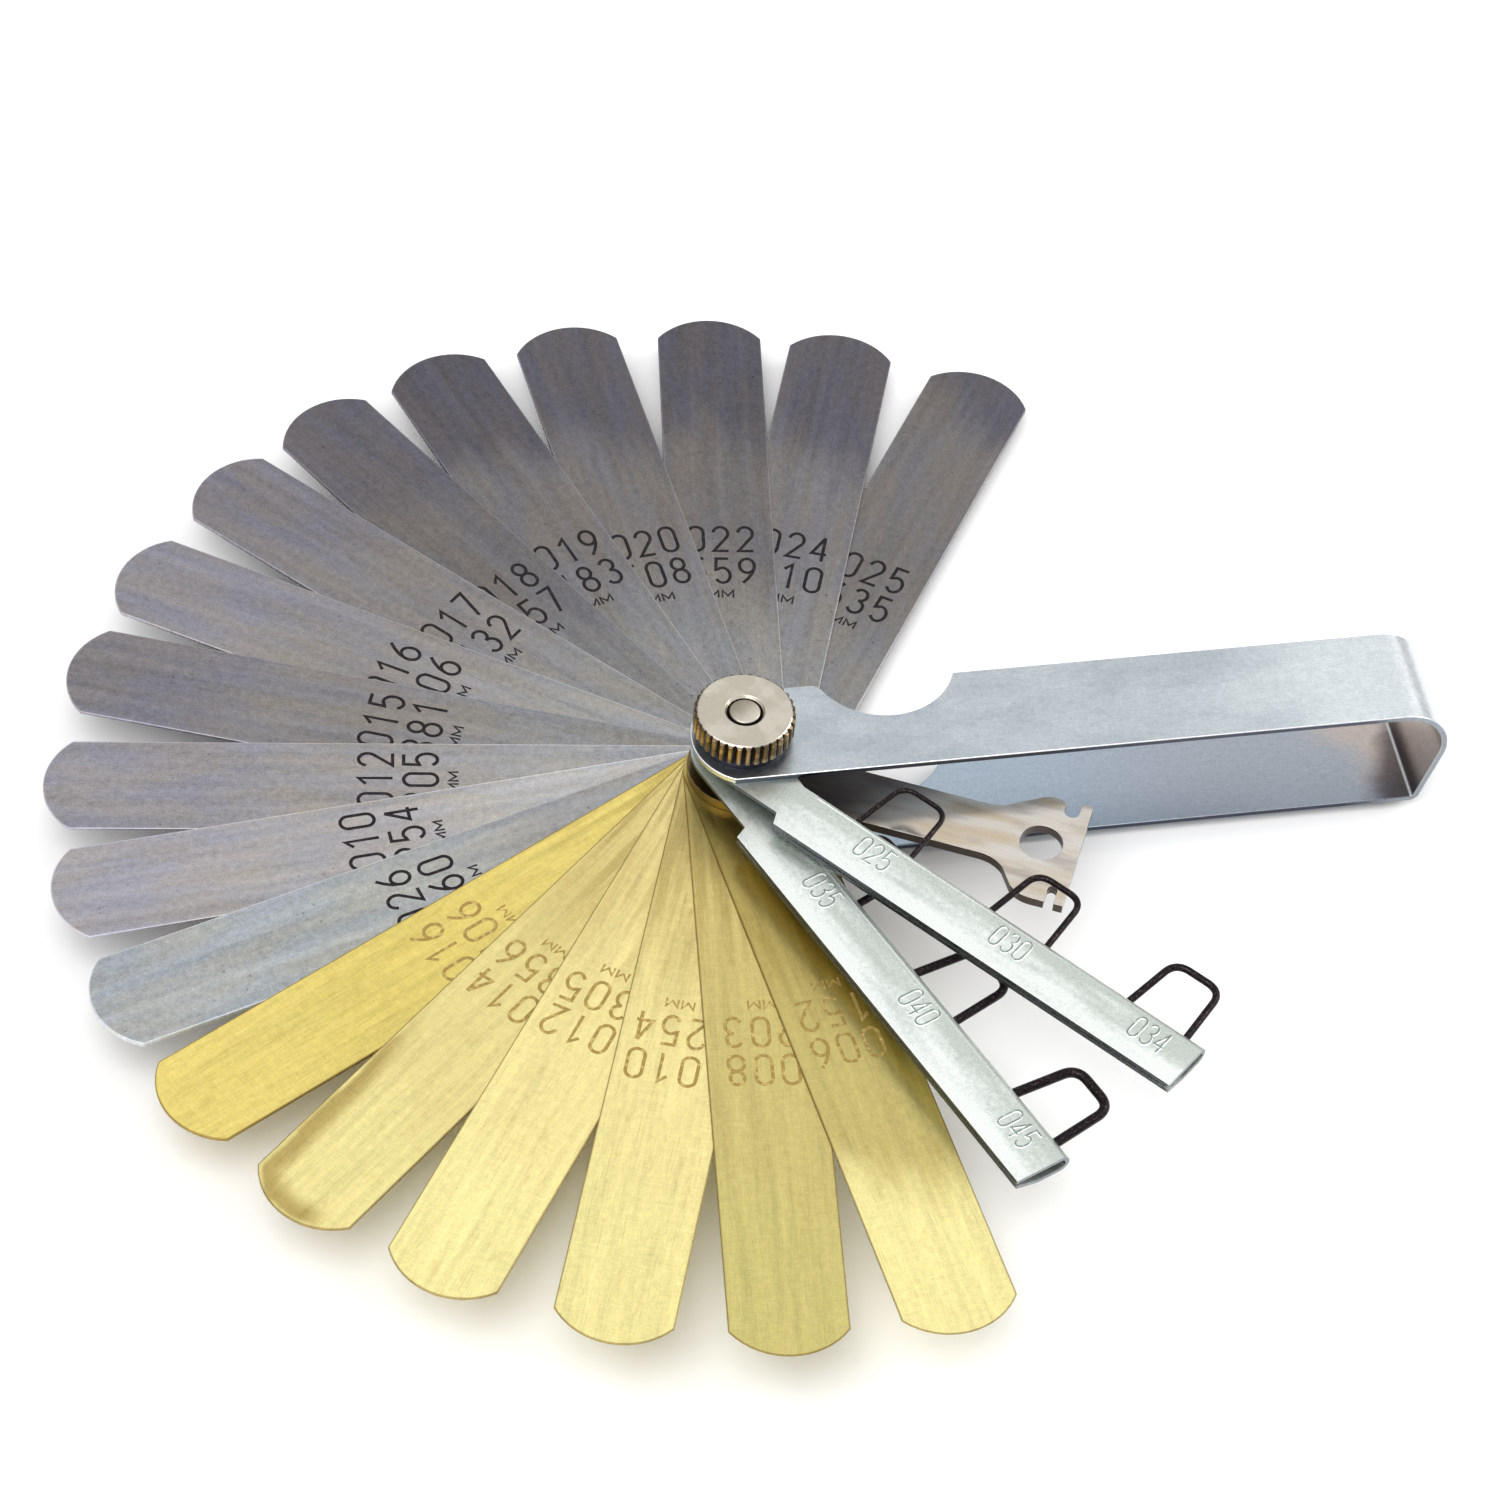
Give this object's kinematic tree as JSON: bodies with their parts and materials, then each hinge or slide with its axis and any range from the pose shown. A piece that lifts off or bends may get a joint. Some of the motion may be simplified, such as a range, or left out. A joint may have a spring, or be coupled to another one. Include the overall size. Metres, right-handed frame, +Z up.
{
  "type": "feeler gauge",
  "caption": "Fan of steel and brass thickness leaves, looped wire gauges and a gap bending tool, all turning on one knurled screw in a bent steel case.",
  "frame": {"origin": "on the pivot axis, in the middle of the underside of the screw head", "axes": "+Z up the pivot axis towards the knurled nut; +X from the pivot along the case to its closed end"},
  "size_m": [0.1594, 0.1556, 0.0207],
  "materials": {
    "case_steel": "satin zinc-plated steel sheet",
    "leaf_steel": "satin rolled spring steel with faint oil tints",
    "leaf_brass": "satin rolled brass with fine lengthwise scratches",
    "holder_zinc": "mottled zinc-plated steel sheet",
    "gauge_wire": "dark music wire",
    "polished_nickel": "polished nickel plate"
  },
  "bodies": {
    "case_body": {"case": "case_steel", "pivot_screw": "polished_nickel"},
    "knurled_nut": {"knurled_nut": "polished_nickel"},
    "steel_leaf_025": {"steel_leaf_025": "leaf_steel"},
    "steel_leaf_024": {"steel_leaf_024": "leaf_steel"},
    "steel_leaf_022": {"steel_leaf_022": "leaf_steel"},
    "steel_leaf_020": {"steel_leaf_020": "leaf_steel"},
    "steel_leaf_019": {"steel_leaf_019": "leaf_steel"},
    "steel_leaf_018": {"steel_leaf_018": "leaf_steel"},
    "steel_leaf_017": {"steel_leaf_017": "leaf_steel"},
    "steel_leaf_016": {"steel_leaf_016": "leaf_steel"},
    "steel_leaf_015": {"steel_leaf_015": "leaf_steel"},
    "steel_leaf_012": {"steel_leaf_012": "leaf_steel"},
    "steel_leaf_010": {"steel_leaf_010": "leaf_steel"},
    "steel_leaf_026": {"steel_leaf_026": "leaf_steel"},
    "brass_leaf_016": {"brass_leaf_016": "leaf_brass"},
    "brass_leaf_014": {"brass_leaf_014": "leaf_brass"},
    "brass_leaf_012": {"brass_leaf_012": "leaf_brass"},
    "brass_leaf_010": {"brass_leaf_010": "leaf_brass"},
    "brass_leaf_008": {"brass_leaf_008": "leaf_brass"},
    "brass_leaf_006": {"brass_leaf_006": "leaf_brass"},
    "gap_bending_tool": {"gap_bending_tool": "polished_nickel"},
    "heavy_wire_holder": {"heavy_wire_holder": "holder_zinc", "wire_loop_035": "gauge_wire", "wire_loop_040": "gauge_wire", "wire_loop_045": "gauge_wire"},
    "light_wire_holder": {"light_wire_holder": "holder_zinc", "wire_loop_025": "gauge_wire", "wire_loop_030": "gauge_wire", "wire_loop_034": "gauge_wire"}
  },
  "joints": [
    {"name": "knurled_nut_turn", "type": "hinge", "parent": "case_body", "child": "knurled_nut", "pos_m": [0, 0, 0.01648], "axis": [0, 0, 1], "range_deg": [0, 360]},
    {"name": "steel_leaf_025_swing", "type": "hinge", "parent": "case_body", "child": "steel_leaf_025", "pos_m": [0, 0, 0.00233], "axis": [0, 0, 1], "range_deg": [-56.7, 303.3]},
    {"name": "steel_leaf_024_swing", "type": "hinge", "parent": "case_body", "child": "steel_leaf_024", "pos_m": [0, 0, 0.00299], "axis": [0, 0, 1], "range_deg": [-70.3, 289.7]},
    {"name": "steel_leaf_022_swing", "type": "hinge", "parent": "case_body", "child": "steel_leaf_022", "pos_m": [0, 0, 0.00361], "axis": [0, 0, 1], "range_deg": [-82.8, 277.2]},
    {"name": "steel_leaf_020_swing", "type": "hinge", "parent": "case_body", "child": "steel_leaf_020", "pos_m": [0, 0, 0.00419], "axis": [0, 0, 1], "range_deg": [-96.4, 263.6]},
    {"name": "steel_leaf_019_swing", "type": "hinge", "parent": "case_body", "child": "steel_leaf_019", "pos_m": [0, 0, 0.00472], "axis": [0, 0, 1], "range_deg": [-109.3, 250.7]},
    {"name": "steel_leaf_018_swing", "type": "hinge", "parent": "case_body", "child": "steel_leaf_018", "pos_m": [0, 0, 0.00523], "axis": [0, 0, 1], "range_deg": [-121.8, 238.2]},
    {"name": "steel_leaf_017_swing", "type": "hinge", "parent": "case_body", "child": "steel_leaf_017", "pos_m": [0, 0, 0.00572], "axis": [0, 0, 1], "range_deg": [-134, 226]},
    {"name": "steel_leaf_016_swing", "type": "hinge", "parent": "case_body", "child": "steel_leaf_016", "pos_m": [0, 0, 0.00618], "axis": [0, 0, 1], "range_deg": [-147.2, 212.8]},
    {"name": "steel_leaf_015_swing", "type": "hinge", "parent": "case_body", "child": "steel_leaf_015", "pos_m": [0, 0, 0.00661], "axis": [0, 0, 1], "range_deg": [-159.4, 200.6]},
    {"name": "steel_leaf_012_swing", "type": "hinge", "parent": "case_body", "child": "steel_leaf_012", "pos_m": [0, 0, 0.00699], "axis": [0, 0, 1], "range_deg": [-172.7, 187.3]},
    {"name": "steel_leaf_010_swing", "type": "hinge", "parent": "case_body", "child": "steel_leaf_010", "pos_m": [0, 0, 0.00731], "axis": [0, 0, 1], "range_deg": [-184.8, 175.2]},
    {"name": "steel_leaf_026_swing", "type": "hinge", "parent": "case_body", "child": "steel_leaf_026", "pos_m": [0, 0, 0.00781], "axis": [0, 0, 1], "range_deg": [-197.3, 162.7]},
    {"name": "brass_leaf_016_swing", "type": "hinge", "parent": "case_body", "child": "brass_leaf_016", "pos_m": [0, 0, 0.00838], "axis": [0, 0, 1], "range_deg": [-209.4, 150.6]},
    {"name": "brass_leaf_014_swing", "type": "hinge", "parent": "case_body", "child": "brass_leaf_014", "pos_m": [0, 0, 0.0088], "axis": [0, 0, 1], "range_deg": [-222.7, 137.3]},
    {"name": "brass_leaf_012_swing", "type": "hinge", "parent": "case_body", "child": "brass_leaf_012", "pos_m": [0, 0, 0.00917], "axis": [0, 0, 1], "range_deg": [-236, 124]},
    {"name": "brass_leaf_010_swing", "type": "hinge", "parent": "case_body", "child": "brass_leaf_010", "pos_m": [0, 0, 0.00949], "axis": [0, 0, 1], "range_deg": [-250.3, 109.7]},
    {"name": "brass_leaf_008_swing", "type": "hinge", "parent": "case_body", "child": "brass_leaf_008", "pos_m": [0, 0, 0.00976], "axis": [0, 0, 1], "range_deg": [-264.2, 95.8]},
    {"name": "brass_leaf_006_swing", "type": "hinge", "parent": "case_body", "child": "brass_leaf_006", "pos_m": [0, 0, 0.00998], "axis": [0, 0, 1], "range_deg": [-278, 82]},
    {"name": "gap_bending_tool_swing", "type": "hinge", "parent": "case_body", "child": "gap_bending_tool", "pos_m": [0, 0, 0.01072], "axis": [0, 0, 1], "range_deg": [-334.2, 25.8]},
    {"name": "heavy_wire_holder_swing", "type": "hinge", "parent": "case_body", "child": "heavy_wire_holder", "pos_m": [0, 0, 0.01252], "axis": [0, 0, 1], "range_deg": [-293.3, 66.7]},
    {"name": "light_wire_holder_swing", "type": "hinge", "parent": "case_body", "child": "light_wire_holder", "pos_m": [0, 0, 0.01468], "axis": [0, 0, 1], "range_deg": [-311.3, 48.7]}
  ]
}
